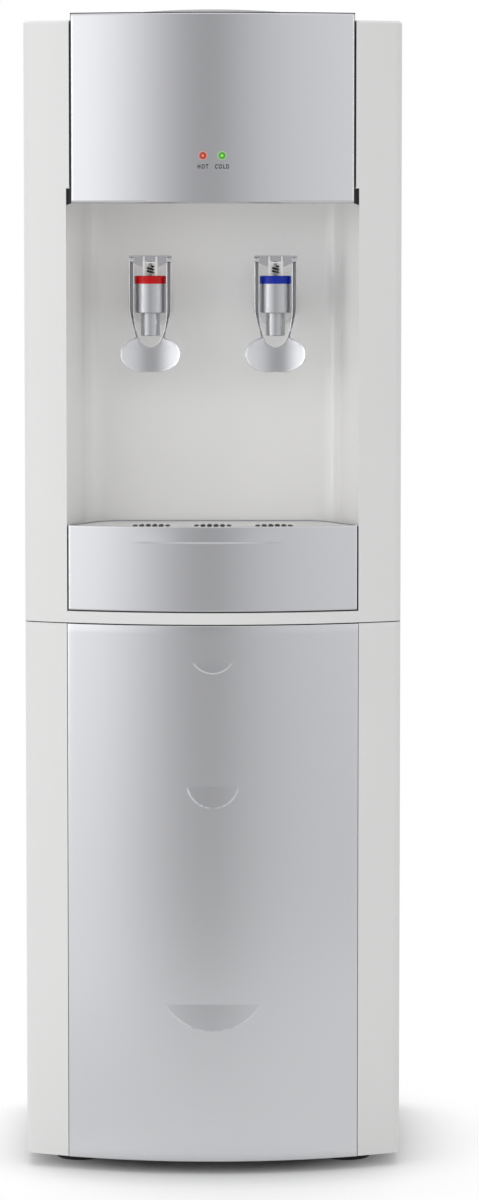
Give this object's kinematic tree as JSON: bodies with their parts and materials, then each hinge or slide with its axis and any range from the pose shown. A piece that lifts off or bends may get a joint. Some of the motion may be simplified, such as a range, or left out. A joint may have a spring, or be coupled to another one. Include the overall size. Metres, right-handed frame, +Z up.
{
  "type": "bottom load water cooler",
  "caption": "Floor-standing hot and cold water cooler with a bowed silver front, push-lever taps in a niche, a drip tray and a hinged door over the bottle compartment.",
  "frame": {"origin": "on the floor, under the middle of the whole object", "axes": "+Z up, the front with the taps and the door faces -Y, +X to the right of someone facing the front"},
  "size_m": [0.36, 0.3815, 1.1095],
  "materials": {
    "white_plastic": "satin",
    "niche_plastic": "satin",
    "white_steel": "satin",
    "silver": "satin",
    "red_plastic": "gloss",
    "blue_plastic": "gloss",
    "red_lens": "gloss",
    "green_lens": "gloss",
    "black_rubber": "matte",
    "black_plastic": "matte",
    "grey_plastic": "matte",
    "zinc": "satin",
    "spring_steel": "satin",
    "black_metal": "satin",
    "copper": "satin",
    "stainless": "satin",
    "foam": "matte",
    "hose": "satin",
    "board": "satin",
    "magnet": "matte"
  },
  "bodies": {
    "cabinet": {"levelling_feet": "black_rubber", "base_pan": "white_steel", "side_panel_left": "white_steel", "side_panel_right": "white_steel", "back_panel": "zinc", "middle_shelf": "zinc", "tank_shelf": "zinc", "case_screws": "zinc", "upper_front_frame": "white_plastic", "upper_panel": "silver", "lamp_red": "red_lens", "lamp_green": "green_lens", "lamp_board": "board", "top_cover": "white_plastic", "niche_liner": "niche_plastic", "bottle_liner": "grey_plastic", "strike_plate": "zinc", "lower_hinge_bracket": "zinc", "upper_hinge_pin": "zinc", "hot_tap_body": "silver", "cold_tap_body": "silver", "hot_collar": "red_plastic", "cold_collar": "blue_plastic", "hot_yoke": "white_plastic", "cold_yoke": "white_plastic", "hot_spring": "spring_steel", "cold_spring": "spring_steel", "tap_roses": "white_plastic", "tap_nuts": "grey_plastic", "condenser": "black_metal", "condenser_brackets": "black_plastic", "compressor": "black_metal", "compressor_mounts": "black_rubber", "cold_tank": "stainless", "evaporator_coil": "copper", "tank_insulation": "foam", "hot_tank": "stainless", "band_heater": "stainless", "water_pump": "black_plastic", "water_hoses": "hose", "refrigerant_lines": "copper", "switch_housing": "black_plastic", "control_board": "board", "cord_gland": "black_plastic", "drain_plug": "white_plastic", "probe_hose": "hose"},
    "door": {"door_frame": "white_plastic", "door_skin": "silver", "door_inner_panel": "white_plastic", "door_magnet": "magnet"},
    "tray": {"drip_tray": "white_plastic", "tray_front": "silver"},
    "grille": {"drip_grille": "white_plastic"},
    "hot_lever": {"hot_lever": "silver"},
    "cold_lever": {"cold_lever": "silver"},
    "hot_stem": {"hot_stem": "white_plastic"},
    "cold_stem": {"cold_stem": "white_plastic"},
    "hot_switch": {"hot_switch": "red_plastic"},
    "cold_switch": {"cold_switch": "blue_plastic"},
    "probe": {"suction_probe": "white_plastic"}
  },
  "joints": [
    {"name": "door_hinge", "type": "hinge", "parent": "cabinet", "child": "door", "pos_m": [0.168, -0.12725, 0.27], "axis": [0, 0, 1], "range_deg": [0, 110]},
    {"name": "tray_slide", "type": "slide", "parent": "cabinet", "child": "tray", "axis": [0, -1, 0], "range_m": [0, 0.1]},
    {"name": "grille_lift", "type": "slide", "parent": "tray", "child": "grille", "axis": [0, 0, 1], "range_m": [0, 0.06]},
    {"name": "hot_lever_push", "type": "hinge", "parent": "cabinet", "child": "hot_lever", "pos_m": [-0.06, -0.12425, 0.8745], "axis": [1, 0, 0], "range_deg": [0, 14], "stiffness_Nm_per_rad": 1.2, "springref_deg": -5.73},
    {"name": "hot_stem_lift", "type": "slide", "parent": "cabinet", "child": "hot_stem", "axis": [0, 0, 1], "range_m": [0, 0.0021], "deforming": ["hot_spring"]},
    {"name": "cold_lever_push", "type": "hinge", "parent": "cabinet", "child": "cold_lever", "pos_m": [0.06, -0.12425, 0.8745], "axis": [1, 0, 0], "range_deg": [0, 14], "stiffness_Nm_per_rad": 1.2, "springref_deg": -5.73},
    {"name": "cold_stem_lift", "type": "slide", "parent": "cabinet", "child": "cold_stem", "axis": [0, 0, 1], "range_m": [0, 0.0021], "deforming": ["cold_spring"]},
    {"name": "hot_switch_rock", "type": "hinge", "parent": "cabinet", "child": "hot_switch", "pos_m": [-0.013, 0.15885, 1.052], "axis": [1, 0, 0], "range_deg": [-20, 0]},
    {"name": "cold_switch_rock", "type": "hinge", "parent": "cabinet", "child": "cold_switch", "pos_m": [0.013, 0.15885, 1.052], "axis": [1, 0, 0], "range_deg": [-20, 0]},
    {"name": "probe_lift", "type": "slide", "parent": "cabinet", "child": "probe", "axis": [0, 0, 1], "range_m": [0, 0.04], "deforming": ["probe_hose"]}
  ],
  "couplings": [
    {"joint": "hot_stem_lift", "follows": "hot_lever_push", "m_per_rad": 0.008},
    {"joint": "cold_stem_lift", "follows": "cold_lever_push", "m_per_rad": 0.008}
  ]
}
